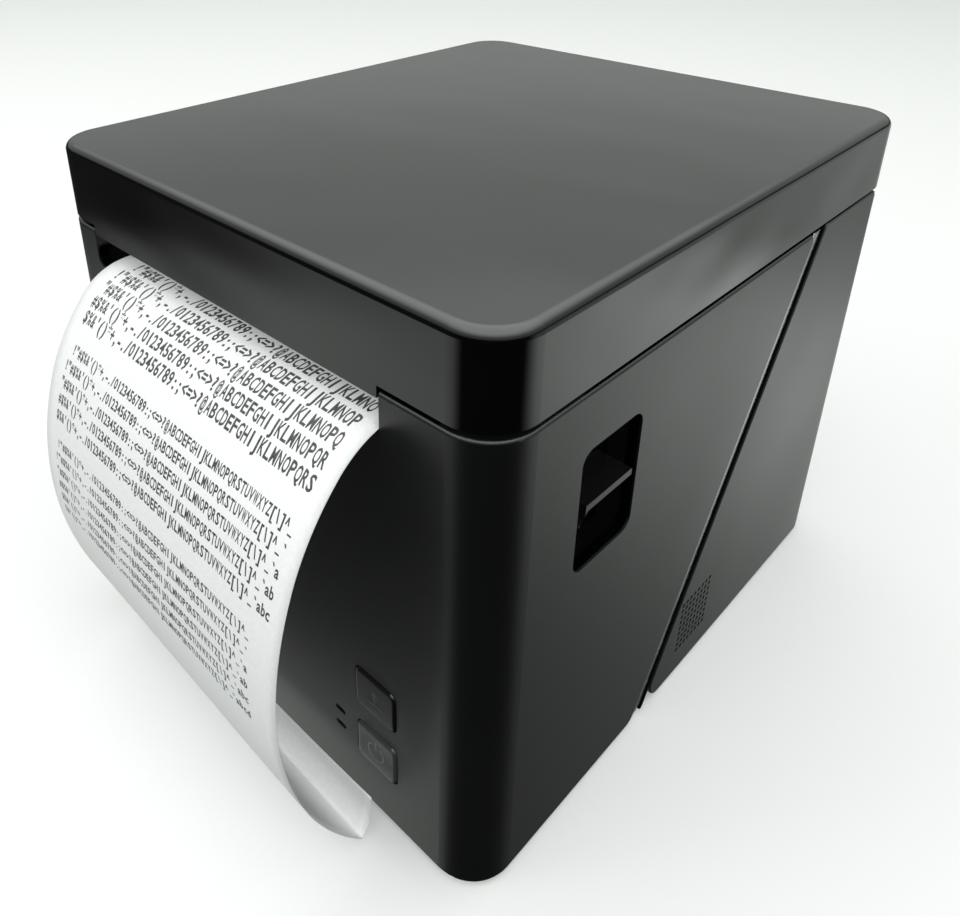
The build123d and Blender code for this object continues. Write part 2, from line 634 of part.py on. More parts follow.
def release_lever(side):
    """A finger lever: back plate with hook arm, thin ledge and the rounded gusset under it."""
    start = min(side * PLATE_IN, side * PLATE_OUT)
    with BuildSketch(Plane.YZ.offset(start)) as plate:
        with BuildLine():
            Polyline(
                (-50.2, LEVER_FOOT), (-44.0, 60.0), (-31.0, 60.0), (-29.4, 70.0), (-29.4, 98.6),
                (-34.1, 98.6), (-34.1, 96.6), (-32.4, 96.0), (-32.6, 89.4), (-50.2, 89.4), close=True,
            )
        make_face()
        with Locations((LATCH_Y, LATCH_Z)):
            Circle(LATCH_R, mode=Mode.SUBTRACT)
    extrude(plate.sketch, amount=PLATE_OUT - PLATE_IN)
    block_start = min(side * PLATE_OUT, side * LEDGE_OUT)
    with BuildSketch(Plane.YZ.offset(block_start)) as grip:
        with BuildLine():
            Polyline(
                (LEDGE_REAR, LEDGE_HIGH), (-46.2, LEDGE_HIGH), (-46.2, 72.7), (LEDGE_FRONT, 72.7),
                (-47.5, 69.4), (-41.5, LEDGE_LOW), (LEDGE_REAR, LEDGE_LOW), close=True,
            )
        make_face()
    extrude(grip.sketch, amount=LEDGE_OUT - PLATE_OUT)


def gusset_edge(side):
    """Picks the outer slanted edge under the ledge, where the fingertip goes in."""
    def near(edge):
        middle = edge @ 0.5
        outside = abs(middle.X - side * LEDGE_OUT) < 0.01
        return outside and abs(middle.Y + 44.5) < 0.3 and abs(middle.Z - 71.9) < 0.4
    return near


with BuildPart() as release_lever_left:
    release_lever(-1)
    fillet(release_lever_left.edges().filter_by(gusset_edge(-1)), GRIP_R)
save(release_lever_left, "release_lever_left")

with BuildPart() as release_lever_right:
    release_lever(1)
    fillet(release_lever_right.edges().filter_by(gusset_edge(1)), GRIP_R)
save(release_lever_right, "release_lever_right")

with BuildPart() as latch_spring:
    rod_x(LATCH_Y, LATCH_Z, LATCH_R + 1.3, 43.0, 48.0)
    rod_x(LATCH_Y, LATCH_Z, LATCH_R + 0.4, 40, 50, Mode.SUBTRACT)
    block((42.0, LATCH_Y - 6.0, LATCH_Z + 2.5), (43.4, LATCH_Y + 1.0, LATCH_Z + 3.2))
save(latch_spring, "latch_spring")

# ---- buttons, their board, switches and light pipes ---------------------------------------------
BOARD_FRONT = -64.6
KEY_EDGE_R = 0.7
LIGHT_RECESS = 0.5         # the pipes end this far inside the front wall


def push_button(button_z):
    """A cap in the front wall with a flange behind it."""
    with BuildSketch(Plane.XZ.offset(67.0)) as cap:
        with Locations((BUTTON_X, button_z)):
            RectangleRounded(BUTTON_SIZE[0] - 0.5, BUTTON_SIZE[1] - 0.5, 1.4)
    extrude(cap.sketch, amount=3.4)
    with BuildSketch(Plane.XZ.offset(66.7)) as flange:
        with Locations((BUTTON_X, button_z)):
            RectangleRounded(BUTTON_SIZE[0] + 1.6, BUTTON_SIZE[1] + 1.6, 1.8)
    extrude(flange.sketch, amount=0.7)


with BuildPart() as feed_button:
    push_button(FEED_Z)
    fillet(feed_button.faces().sort_by(Axis.Y)[0].edges(), KEY_EDGE_R)
save(feed_button, "feed_button")

with BuildPart() as power_button:
    push_button(POWER_Z)
    fillet(power_button.faces().sort_by(Axis.Y)[0].edges(), KEY_EDGE_R)
save(power_button, "power_button")

with BuildPart() as button_board:
    block((22.0, BOARD_FRONT, 9.0), (48.0, BOARD_FRONT + 1.2, 41.0))
save(button_board, "button_board")

with BuildPart() as button_switches:
    for button_z in (FEED_Z, POWER_Z):
        block((BUTTON_X - 3, -65.3, button_z - 3), (BUTTON_X + 3, BOARD_FRONT, button_z + 3))
        rod_y(BUTTON_X, button_z, 1.6, -65.7, -65.3)
save(button_switches, "button_switches")

with BuildPart() as light_pipes:
    for light_z in LIGHT_Z:
        with BuildSketch(Plane.XZ.offset(-BOARD_FRONT)) as pipe:
            with Locations((LIGHT_X, light_z)):
                SlotOverall(LIGHT_SLOT[0] - 0.1, LIGHT_SLOT[1] - 0.1)
        extrude(pipe.sketch, amount=-FRONT - LIGHT_RECESS + BOARD_FRONT)
save(light_pipes, "light_pipes")

# ---- paper: bucket, roll on its core, and the strip that hangs out of the mouth -----------------
BUCKET_Z = ROLL_Z + BUCKET_R - ROLL_R - 0.4
BUCKET_LEFT, BUCKET_RIGHT = -43.4, 40.0

with BuildPart() as roll_bucket:
    rod_x(ROLL_Y, BUCKET_Z, BUCKET_R + 1.8, BUCKET_LEFT, BUCKET_RIGHT)
    block((BUCKET_LEFT, ROLL_Y - BUCKET_R - 1.8, BUCKET_Z), (BUCKET_RIGHT, ROLL_Y + BUCKET_R + 1.8, 90))
    rod_x(ROLL_Y, BUCKET_Z, BUCKET_R, BUCKET_LEFT + 1.4, BUCKET_RIGHT - 1.4, Mode.SUBTRACT)
    block(
        (BUCKET_LEFT + 1.4, ROLL_Y - BUCKET_R, BUCKET_Z), (BUCKET_RIGHT - 1.4, ROLL_Y + BUCKET_R, 120),
        Mode.SUBTRACT,
    )
    block((-60, -40, 76), (60, -8, 120), Mode.SUBTRACT)
    block((-60, -40, 90), (60, 70, 120), Mode.SUBTRACT)
    for leg_x in (BUCKET_LEFT, BUCKET_RIGHT - 1.4):
        block((leg_x, ROLL_Y - 18, FLOOR_TOP), (leg_x + 1.4, ROLL_Y + 18, 30))
save(roll_bucket, "roll_bucket")

PAPER_LOW_X = PAPER_X - PAPER_WIDTH / 2
PAPER_HIGH_X = PAPER_X + PAPER_WIDTH / 2

with BuildPart() as paper_roll:
    rod_x(ROLL_Y, ROLL_Z, ROLL_R, PAPER_LOW_X, PAPER_HIGH_X)
    rod_x(ROLL_Y, ROLL_Z, CORE_R, -60, 60, Mode.SUBTRACT)
save(paper_roll, "paper_roll")

with BuildPart() as roll_core:
    rod_x(ROLL_Y, ROLL_Z, CORE_R, PAPER_LOW_X, PAPER_HIGH_X)
    rod_x(ROLL_Y, ROLL_Z, CORE_R - 1.6, -60, 60, Mode.SUBTRACT)
save(roll_core, "roll_core")

# The strip leaves the roll at a shallow climb, runs level through the nip and the mouth,
# then curls down: each pair is the radius of one arc and the degrees it turns.
CLIMB = 12.0
CLIMB_R = 20.0
LEVEL_END = -65.8
CURL = ((17.0, 44.5), (44.5, 23.5), (66.5, 31.5), (74.5, 29.4), (0.6, 74.1), (4.0, 66.0))
TAIL = 5.6
KERF = 1.0


def strip_edge(offset):
    """One face of the strip, offset outwards from its middle line."""
    roll_r = ROLL_R + 0.3 + PAPER_THICK / 2
    climb = radians(CLIMB)
    start = (ROLL_Y + (roll_r + offset) * sin(climb), ROLL_Z + (roll_r + offset) * cos(climb))
    rise = PAPER_Z - CLIMB_R * (1 - cos(climb)) - (ROLL_Z + roll_r * cos(climb))
    run = Line(start, (start[0] - rise / tan(climb), start[1] + rise))
    bend = JernArc(run @ 1, run % 1, CLIMB_R + offset, CLIMB)
    last = Line(bend @ 1, (LEVEL_END, PAPER_Z + offset))
    for radius, turn in CURL:
        last = JernArc(last @ 1, last % 1, radius + offset, turn)
    tail = Line(last @ 1, last @ 1 + TAIL * (last % 1))
    return run @ 0, tail @ 1


with BuildPart() as paper_strip:
    with BuildSketch(Plane.YZ.offset(PAPER_LOW_X)) as strip:
        with BuildLine():
            outer_start, outer_end = strip_edge(PAPER_THICK / 2)
            inner_start, inner_end = strip_edge(-PAPER_THICK / 2)
            Line(outer_start, inner_start)
            Line(outer_end, inner_end)
        make_face()
    extrude(strip.sketch, amount=PAPER_WIDTH)
    kerf_y = BLADE_FRONT + BLADE_THICK / 2
    for kerf_low, kerf_high in ((-60, PAPER_X - 0.8), (PAPER_X + 0.8, 60)):
        block((kerf_low, kerf_y - KERF / 2, 90), (kerf_high, kerf_y + KERF / 2, 95), Mode.SUBTRACT)
save(paper_strip, "paper_strip")

# ---- main board with its sockets --------------------------------------------------------------------
PCB_FRONT, PCB_BACK = 58.9, 60.5
SOCKET_FACE = 69.6

with BuildPart() as main_board:
    block((-48.0, PCB_FRONT, 8.0), (48.0, PCB_BACK, 62.0))
save(main_board, "main_board")


def socket(name, hole_w, hole_h, depth, tongue=None):
    """A cable socket: a shell on the board with an open mouth at the back."""
    x, z, w, h = SOCKETS[name]
    block((x - w / 2, PCB_BACK, z - h / 2), (x + w / 2, SOCKET_FACE, z + h / 2))
    mouth_low = (x - hole_w / 2, SOCKET_FACE - depth, z - hole_h / 2)
    block(mouth_low, (x + hole_w / 2, SOCKET_FACE + 2, z + hole_h / 2), Mode.SUBTRACT)
    if tongue:
        block((x - tongue[0] / 2, 60.6, z - tongue[1] / 2), (x + tongue[0] / 2, 68.6, z + tongue[1] / 2))


with BuildPart() as usb_socket:
    socket("usb", 8.6, 7.8, 8.6, (5.6, 3.0))
save(usb_socket, "usb_socket")

with BuildPart() as lan_socket:
    socket("lan", 11.8, 8.4, 8.6)
save(lan_socket, "lan_socket")

with BuildPart() as drawer_socket:
    socket("drawer", 9.8, 7.4, 8.6)
save(drawer_socket, "drawer_socket")

with BuildPart() as power_socket:
    power_x, power_z, power_w, power_h = SOCKETS["power"]
    low = (power_x - power_w / 2, PCB_BACK, power_z - power_h / 2)
    block(low, (power_x + power_w / 2, SOCKET_FACE, power_z + power_h / 2))
    rod_y(power_x, power_z, 4.6, 61.0, 72.0, Mode.SUBTRACT)
    rod_y(power_x, power_z, 0.9, 60.6, 68.6)
save(power_socket, "power_socket")

with BuildPart() as board_chips:
    block((-20.0, PCB_FRONT - 1.6, 36.0), (-6.0, PCB_FRONT, 50.0))
    block((8.0, PCB_FRONT - 1.2, 40.0), (20.0, PCB_FRONT, 48.0))
save(board_chips, "board_chips")
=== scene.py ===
from math import cos, radians, sin, tan

import bmesh
import bpy
import numpy as np
from mathutils import Matrix, Vector


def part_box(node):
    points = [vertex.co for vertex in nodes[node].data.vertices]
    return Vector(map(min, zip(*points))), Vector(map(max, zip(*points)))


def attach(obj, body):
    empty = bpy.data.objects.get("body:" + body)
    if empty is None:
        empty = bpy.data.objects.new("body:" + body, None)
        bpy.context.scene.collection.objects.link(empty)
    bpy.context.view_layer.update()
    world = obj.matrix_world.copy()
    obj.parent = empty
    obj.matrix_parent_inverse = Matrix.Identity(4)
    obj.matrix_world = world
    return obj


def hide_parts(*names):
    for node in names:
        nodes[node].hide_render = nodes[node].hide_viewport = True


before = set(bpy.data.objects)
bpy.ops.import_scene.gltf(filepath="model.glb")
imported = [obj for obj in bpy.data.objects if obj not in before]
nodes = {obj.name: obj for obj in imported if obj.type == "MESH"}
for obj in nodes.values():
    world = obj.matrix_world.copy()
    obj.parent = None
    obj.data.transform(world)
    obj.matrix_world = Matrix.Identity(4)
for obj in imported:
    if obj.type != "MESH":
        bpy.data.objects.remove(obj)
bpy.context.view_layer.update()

# ---------------------------------------------------------------------------------
# Camera. It looks down on the front right corner, close enough for a strong
# perspective; the small shift only places the printer in the frame.
MM = 0.001
LENS_PLACE = Vector((115.8, -141.1, 169.4)) * MM
AZIMUTH, ELEVATION, ROLL = 44.61, 25.82, -0.20
LENS = 32.92
SHIFT = (0.0675, -0.2004)


def new_object(name, data):
    """An object in the scene, at the origin."""
    made = bpy.data.objects.new(name, data)
    bpy.context.scene.collection.objects.link(made)
    return made


azimuth, elevation, roll = radians(AZIMUTH), radians(ELEVATION), radians(ROLL)
back = Vector((sin(azimuth) * cos(elevation), -cos(azimuth) * cos(elevation), sin(elevation)))
right = Vector((0, 0, 1)).cross(back).normalized()
up = back.cross(right)
turned_right = right * cos(roll) + up * sin(roll)
turned_up = up * cos(roll) - right * sin(roll)
camera_data = bpy.data.cameras.new("camera")
camera_data.lens = LENS
camera_data.sensor_width = 36
camera_data.shift_x, camera_data.shift_y = SHIFT
camera_data.clip_start, camera_data.clip_end = 0.01, 50
camera = new_object("camera", camera_data)
placing = Matrix((turned_right, turned_up, back)).transposed().to_4x4()
placing.translation = LENS_PLACE
camera.matrix_world = placing
bpy.context.scene.camera = camera
bpy.context.scene.view_settings.view_transform = "Standard"

# ---------------------------------------------------------------------------------
# Floor and light. A plain white floor, a white surround for the camera, a dim grey
# studio for what the black shell reflects, and soft boxes that its gloss doesn't show.
FLOOR_WHITE = (0.93, 0.93, 0.93, 1)
FLOOR_HALF = 3.0


def blank(name):
    """A new material, its node tree and its Principled shader."""
    made = bpy.data.materials.new(name)
    made.use_nodes = True
    return made, made.node_tree, made.node_tree.nodes["Principled BSDF"]


white_paint, tree, shader = blank("floor")
shader.inputs["Base Color"].default_value = FLOOR_WHITE
shader.inputs["Roughness"].default_value = 0.9
floor_mesh = bpy.data.meshes.new("floor")
corners = [(x * FLOOR_HALF, y * FLOOR_HALF, 0) for x, y in ((-1, -1), (1, -1), (1, 1), (-1, 1))]
floor_mesh.from_pydata(corners, [], [(0, 1, 2, 3)])
floor_mesh.materials.append(white_paint)
floor = new_object("floor", floor_mesh)
floor.visible_glossy = False
floor.visible_diffuse = False

world = bpy.data.worlds.new("studio")
bpy.context.scene.world = world
world.use_nodes = True
world.cycles.sampling_method = "NONE"
tree = world.node_tree
tree.nodes.clear()
direction = tree.nodes.new("ShaderNodeTexCoord")
parts = tree.nodes.new("ShaderNodeSeparateXYZ")
tree.links.new(direction.outputs["Generated"], parts.inputs[0])


def ranged(tree, source, from_low, from_high, to_low, to_high):
    """A value mapped smoothly from one range to another."""
    node = tree.nodes.new("ShaderNodeMapRange")
    node.interpolation_type = "SMOOTHSTEP"
    for socket, value in zip(node.inputs[1:5], (from_low, from_high, to_low, to_high)):
        socket.default_value = value
    tree.links.new(source, node.inputs[0])
    return node.outputs[0]


def combined(tree, operation, first, second):
    """Two values joined by a sum or a product."""
    node = tree.nodes.new("ShaderNodeMath")
    node.operation = operation
    for socket, value in zip(node.inputs, (first, second)):
        if isinstance(value, float):
            socket.default_value = value
        else:
            tree.links.new(value, socket)
    return node.outputs[0]


# What gloss sees: a ceiling that brightens upwards, a pale board low at the back right,
# a dimmer one low at the front left, and black in front.
ceiling = combined(tree, "ADD", ranged(tree, parts.outputs["Z"], 0.0, 0.25, 0.0, 0.68),
                   ranged(tree, parts.outputs["Z"], 0.32, 0.95, 0.0, 3.5))
board_height = combined(tree, "MULTIPLY", ranged(tree, parts.outputs["Z"], -0.76, -0.46, 0.16, 1.3),
                        ranged(tree, parts.outputs["Z"], -0.46, -0.37, 1.0, 0.42))
back_right = combined(tree, "MULTIPLY", ranged(tree, parts.outputs["Y"], 0.1, 0.6, 0.0, 1.0), board_height)
front_left = combined(tree, "MULTIPLY", ranged(tree, parts.outputs["X"], -0.5, -0.1, 1.0, 0.0),
                      ranged(tree, parts.outputs["Z"], -0.52, -0.35, 0.85, 0.03))
below = combined(tree, "ADD", back_right, front_left)
boards = combined(tree, "MULTIPLY", below, ranged(tree, parts.outputs["Z"], -0.04, 0.0, 1.0, 0.0))
glossy_light = combined(tree, "ADD", ceiling, boards)
diffuse_light = ranged(tree, parts.outputs["Z"], -0.15, 0.15, 0.10, 0.52)

path = tree.nodes.new("ShaderNodeLightPath")
reflected = tree.nodes.new("ShaderNodeMix")
tree.links.new(path.outputs["Is Glossy Ray"], reflected.inputs[0])
tree.links.new(diffuse_light, reflected.inputs[2])
tree.links.new(glossy_light, reflected.inputs[3])
surround = tree.nodes.new("ShaderNodeBackground")
surround.inputs["Color"].default_value = (0.95, 1.0, 0.96, 1)
tree.links.new(reflected.outputs[0], surround.inputs["Strength"])
seen = tree.nodes.new("ShaderNodeBackground")
seen.inputs["Color"].default_value = (1, 1, 1, 1)
mix = tree.nodes.new("ShaderNodeMixShader")
tree.links.new(path.outputs["Is Camera Ray"], mix.inputs["Fac"])
tree.links.new(surround.outputs[0], mix.inputs[1])
tree.links.new(seen.outputs[0], mix.inputs[2])
output = tree.nodes.new("ShaderNodeOutputWorld")
tree.links.new(mix.outputs[0], output.inputs["Surface"])


def soft_box(name, place, aim, size, power):
    """A rectangular studio light that neither the camera nor gloss shows."""
    lamp = bpy.data.lights.new(name, "AREA")
    lamp.shape = "RECTANGLE"
    lamp.size, lamp.size_y = size
    lamp.energy = power
    light = new_object(name, lamp)
    light.location = place
    light.rotation_mode = "QUATERNION"
    light.rotation_quaternion = (Vector(aim) - Vector(place)).to_track_quat("-Z", "Y")
    light.visible_camera = False
    light.visible_glossy = False
    return light


soft_box("overhead", (0.0, 0.1, 1.2), (0, 0, 0), (1.4, 1.4), 5.0)
soft_box("front_left", (-0.9, -0.9, 0.7), (0, 0, 0.05), (0.8, 0.8), 4.0)
soft_box("right", (1.1, -0.2, 0.6), (0, 0, 0.05), (0.8, 0.8), 3.0)
soft_box("low_front", (-0.35, -0.9, 0.12), (0, -0.08, 0.05), (0.7, 0.3), 1.5)
# the fill casts no shadow, so that the curled paper is lit evenly
paper_fill = soft_box("paper_fill", (0.1, -0.6, 1.04), (0, 0, 0), (0.6, 0.6), 4.4)
paper_fill.data.use_shadow = False

# ---------------------------------------------------------------------------------
# Moulded case halves. Two ABS shells with a fine spark-eroded texture, satin black
# with a slight green cast, split by the slanted gap. The CAD shells carry the finish.
SATIN = (0.0048, 0.0054, 0.005)
SIDE_SKIN = (59.4 * MM, 59.7 * MM)      # an outer side face lies past this, a hole's wall before it
FRONT_SKIN = (69.4 * MM, 69.7 * MM)
HOLE_REACH = (49.0 * MM, 50.0 * MM)     # every hole lies this near its face's middle
# painted shade for the walls of the holes: a near-black colour, with a sharper gloss
HOLE_PAINTED_SHADE = {"Base Color": 0.0004, "Roughness": 0.14}


def object_noise(tree, scale, detail=3.0, stretch=(1, 1, 1)):
    """Noise that stays with the piece, in its own metres."""
    place = tree.nodes.new("ShaderNodeTexCoord")
    turn = tree.nodes.new("ShaderNodeMapping")
    turn.inputs["Scale"].default_value = stretch
    noise = tree.nodes.new("ShaderNodeTexNoise")
    noise.inputs["Scale"].default_value = scale
    noise.inputs["Detail"].default_value = detail
    tree.links.new(place.outputs["Object"], turn.inputs["Vector"])
    tree.links.new(turn.outputs["Vector"], noise.inputs["Vector"])
    return noise


def vary(tree, noise, socket, low, high):
    """Feeds a socket with the noise, between two values or two colours."""
    ramp = tree.nodes.new("ShaderNodeValToRGB")
    ramp.color_ramp.elements[0].position = 0.3
    ramp.color_ramp.elements[1].position = 0.7
    colours = [c if hasattr(c, "__len__") else (c, c, c) for c in (low, high)]
    ramp.color_ramp.elements[0].color = (*colours[0], 1)
    ramp.color_ramp.elements[1].color = (*colours[1], 1)
    tree.links.new(noise.outputs["Fac"], ramp.inputs["Fac"])
    tree.links.new(ramp.outputs["Color"], socket)


def grain(tree, shader, noise, depth):
    """Raises the surface by the noise, depth in metres."""
    bump = tree.nodes.new("ShaderNodeBump")
    bump.inputs["Strength"].default_value = 1.0
    bump.inputs["Distance"].default_value = depth
    tree.links.new(noise.outputs["Fac"], bump.inputs["Height"])
    tree.links.new(bump.outputs["Normal"], shader.inputs["Normal"])


def moulded(name, colour, roughness, texture_scale=2600, depth=0.00002):
    """Moulded plastic: a fine eroded texture, faint flow marks in colour and gloss."""
    made, tree, shader = blank(name)
    broad = object_noise(tree, 18, 2)
    vary(tree, broad, shader.inputs["Base Color"], [c * 0.88 for c in colour], [c * 1.12 for c in colour])
    vary(tree, broad, shader.inputs["Roughness"], roughness - 0.03, roughness + 0.03)
    grain(tree, shader, object_noise(tree, texture_scale, 2), depth)
    shader.inputs["IOR"].default_value = 1.5
    return made


def paint(material, *names):
    """Gives CAD nodes a material."""
    for name in names:
        mesh = nodes[name].data
        mesh.materials.clear()
        mesh.materials.append(material)


def within(tree, axis_output, limits):
    """One near the middle of an axis, falling to nothing between the two limits."""
    size = tree.nodes.new("ShaderNodeMath")
    size.operation = "ABSOLUTE"
    tree.links.new(axis_output, size.inputs[0])
    return ranged(tree, size.outputs[0], *limits, 1.0, 0.0)


satin_black = moulded("satin_black_abs", SATIN, 0.36)
tree = satin_black.node_tree
shader = tree.nodes["Principled BSDF"]
place = tree.nodes.new("ShaderNodeTexCoord")
axes = tree.nodes.new("ShaderNodeSeparateXYZ")
tree.links.new(place.outputs["Object"], axes.inputs[0])
# the walls of the windows, mouth, vents and button holes lie deeper than the outer faces: there the colour is
# darkened as painted shade, and the gloss is sharpened
side_hole = combined(tree, "MULTIPLY", within(tree, axes.outputs["X"], SIDE_SKIN),
                     within(tree, axes.outputs["Y"], HOLE_REACH))
front_hole = combined(tree, "MULTIPLY", within(tree, axes.outputs["Y"], FRONT_SKIN),
                      within(tree, axes.outputs["X"], HOLE_REACH))
hole_shade_mask = combined(tree, "MAXIMUM", side_hole, front_hole)
for socket_name, inside in HOLE_PAINTED_SHADE.items():
    swap = tree.nodes.new("ShaderNodeMix")
    swap.data_type = "RGBA"
    tree.links.new(hole_shade_mask, swap.inputs[0])
    tree.links.new(shader.inputs[socket_name].links[0].from_socket, swap.inputs[6])
    swap.inputs[7].default_value = (inside, inside, inside, 1)
    tree.links.new(swap.outputs[2], shader.inputs[socket_name])
paint(satin_black, "front_case", "rear_case")

# ---------------------------------------------------------------------------------
# Seam filler. In the slanted gap on each side lies a pale metal strip, a painted highlight for the gleam
# along the front half's edge, and against the rear half a black band, painted shade for the dark gap,
# that stands a little higher; both are rounded at the foot.
SEAM_SLOPE = 1 / tan(radians(62.5))
SEAM_FOOT = Vector((0, -20.0, 1.0)) * MM
SEAM_TOP = 98.0 * MM
FOOT_STEPS = 10


def shaped_piece(name, shape, material, body):
    """Makes a bmesh into a piece at the origin that rides a body."""
    bmesh.ops.recalc_face_normals(shape, faces=shape.faces)
    mesh = bpy.data.meshes.new(name)
    shape.to_mesh(mesh)
    shape.free()
    mesh.materials.append(material)
    made = new_object(name, mesh)
    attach(made, body)


def band_ring(middle_y, half, foot_z, inset):
    """A band's outline as (y, z): round the foot, then up the slope to the top."""
    r = half - inset
    turns = [radians(180 + 180 * step / FOOT_STEPS) for step in range(FOOT_STEPS + 1)]
    outline = [(r * cos(turn), foot_z + half + r * sin(turn)) for turn in turns]
    outline += [(r, SEAM_TOP - inset), (-r, SEAM_TOP - inset)]
    return [(middle_y + SEAM_SLOPE * (z - SEAM_FOOT.z) + across, z) for across, z in outline]


def slanted_band(name, span_y, span_x, foot_z, edge, material):
    """A strip along the gap on both sides, its edges eased at the outer face."""
    half = (span_y[1] - span_y[0]) / 2
    middle_y = SEAM_FOOT.y + (span_y[0] + span_y[1]) / 2
    x_in, x_out = span_x
    steps = ((x_in, 0.0), (x_out - edge, 0.0), (x_out - edge * 0.3, edge * 0.3), (x_out, edge))
    shape = bmesh.new()
    for side in (-1, 1):
        rings = [[shape.verts.new((side * x, y, z)) for y, z in band_ring(middle_y, half, foot_z, inset)]
                 for x, inset in steps]
        for inner, outer in zip(rings, rings[1:]):
            for k in range(len(inner)):
                n = (k + 1) % len(inner)
                shape.faces.new((inner[k], inner[n], outer[n], outer[k]))
        shape.faces.new(rings[0])
        shape.faces.new(rings[-1])
    shaped_piece(name, shape, material, "case")


# painted highlight: a pale metal strip stands in for the gleam along the front half's edge
seam_highlight_paint, tree, shader = blank("seam_painted_highlight")
brushed = object_noise(tree, 600, 3, (1, 0.3, 0.3))
vary(tree, brushed, shader.inputs["Base Color"], (0.36, 0.37, 0.37), (0.44, 0.45, 0.45))
vary(tree, brushed, shader.inputs["Roughness"], 0.22, 0.30)
shader.inputs["Metallic"].default_value = 1.0
slanted_band("seam_highlight_strip", (0.2 * MM, 3.2 * MM), (57.0 * MM, 59.5 * MM), 1.4 * MM, 0.2 * MM, seam_highlight_paint)
# painted shade: a dark, dull strip stands in for the shaded gap against the rear half
seam_shade_paint, tree, shader = blank("seam_painted_shade")
vary(tree, object_noise(tree, 900, 3), shader.inputs["Base Color"], 0.0008, 0.0016)
shader.inputs["Roughness"].default_value = 0.9
shader.inputs["Specular IOR Level"].default_value = 0.05
slanted_band("seam_shade_strip", (3.3 * MM, 4.4 * MM), (57.0 * MM, 59.9 * MM), 1.2 * MM, 0.25 * MM, seam_shade_paint)

# ---------------------------------------------------------------------------------
# Lid. A polished black ABS cover with rolled upper edges; only faint polishing
# marks show in its gloss. It turns on the rear hinge.
gloss_black, tree, shader = blank("gloss_black_abs")
haze = object_noise(tree, 30, 2)
vary(tree, haze, shader.inputs["Base Color"], (0.0018, 0.002, 0.0019), (0.0026, 0.0029, 0.0027))
vary(tree, haze, shader.inputs["Roughness"], 0.10, 0.14)
grain(tree, shader, object_noise(tree, 16, 1, (1, 1.6, 3)), 0.0007)
shader.inputs["IOR"].default_value = 1.52
paint(gloss_black, "lid_cover")

# ---------------------------------------------------------------------------------
# Inner mouldings. The base plate and the side skins behind the gap are matt black ABS,
# the finger levers glossier, the bucket and lid liner grey, and the gears and bearings
# white acetal.
matt_black = moulded("matt_black_abs", (0.006, 0.006, 0.006), 0.55, 1500, 0.00003)
paint(matt_black, "base_plate", "inner_frame")
lever_black = moulded("lever_black", (0.006, 0.0063, 0.006), 0.16)
paint(lever_black, "release_lever_left", "release_lever_right")
grey_plastic = moulded("grey_moulding", (0.05, 0.052, 0.052), 0.5, 1500, 0.00003)
paint(grey_plastic, "roll_bucket", "lid_liner")
acetal = moulded("white_acetal", (0.72, 0.71, 0.66), 0.35, 1200, 0.00001)
paint(acetal, "platen_gear", "idler_gear", "platen_bearings")

# ---------------------------------------------------------------------------------
# Metal parts. Zinc-plated sheet with a rolled grain, ground shafts, drawn wire and
# a plain extruded aluminium cooler.
GRAIN_SCALE, GRAIN_DEPTH = 500, 0.000006


def metal(name, colour, roughness, stretch):
    """Metal with a grain drawn out along one direction."""
    made, tree, shader = blank(name)
    lines = object_noise(tree, GRAIN_SCALE, 4, stretch)
    vary(tree, lines, shader.inputs["Base Color"], [c * 0.82 for c in colour], colour)
    vary(tree, lines, shader.inputs["Roughness"], roughness - 0.06, roughness + 0.08)
    grain(tree, shader, lines, GRAIN_DEPTH)
    shader.inputs["Metallic"].default_value = 1.0
    return made


zinc = metal("zinc_plated_sheet", (0.62, 0.63, 0.62), 0.34, (0.08, 1, 1))
paint(zinc, "mechanism_frame", "hinge_brackets", "lid_hinge_leaves")
paint(zinc, "head_bracket", "cutter_guide", "lid_catches")
ground = metal("ground_steel", (0.7, 0.7, 0.69), 0.2, (1, 0.05, 0.05))
paint(ground, "platen_shaft", "latch_shaft", "idler_pin", "motor_pinion", "hinge_pins", "cutter_pinion")
blade_steel = metal("blade_steel", (0.66, 0.66, 0.67), 0.25, (0.05, 1, 1))
paint(blade_steel, "fixed_blade", "moving_blade")
can_steel = metal("motor_can", (0.5, 0.5, 0.49), 0.38, (0.1, 1, 1))
paint(can_steel, "stepper_motor", "cutter_motor")
screw_steel = metal("black_screw", (0.09, 0.09, 0.09), 0.35, (1, 1, 1))
paint(screw_steel, "case_screws", "lid_screws")
aluminium = metal("extruded_aluminium", (0.74, 0.75, 0.76), 0.3, (0.04, 1, 1))
paint(aluminium, "head_cooler")
wire = metal("spring_wire", (0.5, 0.5, 0.52), 0.3, (1, 1, 1))
paint(wire, "latch_spring", "head_springs")
gold = metal("gold_flash", (0.83, 0.62, 0.27), 0.25, (1, 1, 0.2))
socket_shell = metal("socket_shell", (0.66, 0.66, 0.64), 0.28, (1, 1, 0.1))
paint(socket_shell, "usb_socket", "lan_socket")
tear_black = metal("blackened_steel", (0.035, 0.036, 0.036), 0.4, (0.1, 1, 1))
paint(tear_black, "tear_bar")

# ---------------------------------------------------------------------------------
# Springs. Wound steel wire: two that press the print head down, and one round the
# latch shaft. A node tree winds a coil and repeats it.


def geometry_tree(name, inputs):
    """A geometry tree with named inputs, a material and one output."""
    tree = bpy.data.node_groups.new(name, "GeometryNodeTree")
    for label, kind in inputs:
        tree.interface.new_socket(label, in_out="INPUT", socket_type=kind)
    tree.interface.new_socket("Material", in_out="INPUT", socket_type="NodeSocketMaterial")
    tree.interface.new_socket("Geometry", in_out="OUTPUT", socket_type="NodeSocketGeometry")
    return tree, tree.nodes.new("NodeGroupInput"), tree.nodes.new("NodeGroupOutput")


